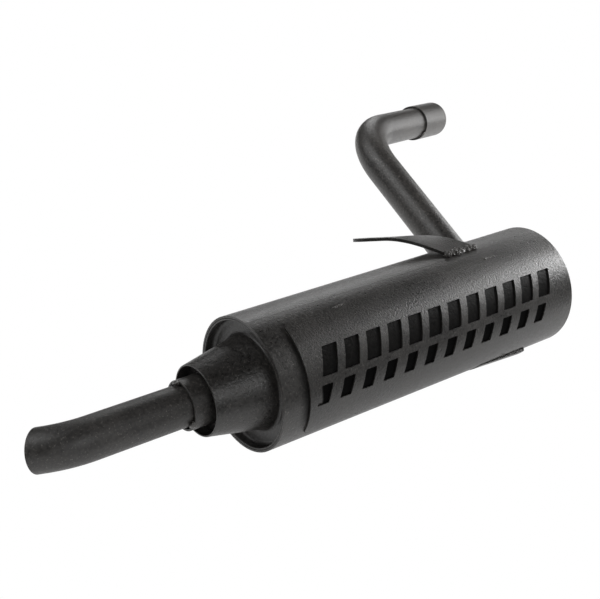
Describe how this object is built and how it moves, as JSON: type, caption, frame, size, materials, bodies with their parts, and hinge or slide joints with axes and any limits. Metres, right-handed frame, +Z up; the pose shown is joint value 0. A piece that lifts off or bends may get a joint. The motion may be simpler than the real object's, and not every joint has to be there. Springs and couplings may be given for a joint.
{
  "type": "racing exhaust system",
  "caption": "Side-entry silencer canister with a slotted side plate, bent inlet pipe with slip socket, hanger strap and turned-out tail pipe.",
  "frame": {"origin": "centre of the inlet socket's open mouth", "axes": "+X along the canister from its outlet end to its closed end, +Z up with the slotted plate facing -Y, right-handed"},
  "size_m": [0.7349, 0.3832, 0.2042],
  "materials": {
    "shell_paint": "satin black powder coat with a fine grain",
    "pipe_paint": "satin black powder coat with a fine grain",
    "plate_paint": "satin black powder coat with a fine grain",
    "weld_paint": "glossy black coat over rippled weld beads",
    "bare_steel": "uncoated mild steel",
    "glass_wool": "packed glass fibre"
  },
  "bodies": {
    "root": {"canister_shell": "shell_paint", "outlet_end_cap": "shell_paint", "closed_end_cap": "shell_paint", "outlet_cone": "shell_paint", "cone_ring": "shell_paint", "outlet_sleeve": "shell_paint", "sleeve_weld": "weld_paint", "tail_pipe": "pipe_paint", "tail_tack_welds": "weld_paint", "side_plate": "plate_paint", "plate_tack_welds": "weld_paint", "hanger_strap": "plate_paint", "hanger_welds": "weld_paint", "inlet_pipe": "pipe_paint", "inlet_weld": "weld_paint", "inlet_socket": "pipe_paint", "socket_weld": "weld_paint", "underside_pad": "plate_paint", "pad_welds": "weld_paint", "core_tube": "bare_steel", "glass_wool": "glass_wool", "baffle_plate": "bare_steel", "baffle_collar": "bare_steel", "spark_screen": "bare_steel", "wool_ring": "bare_steel"}
  },
  "joints": []
}
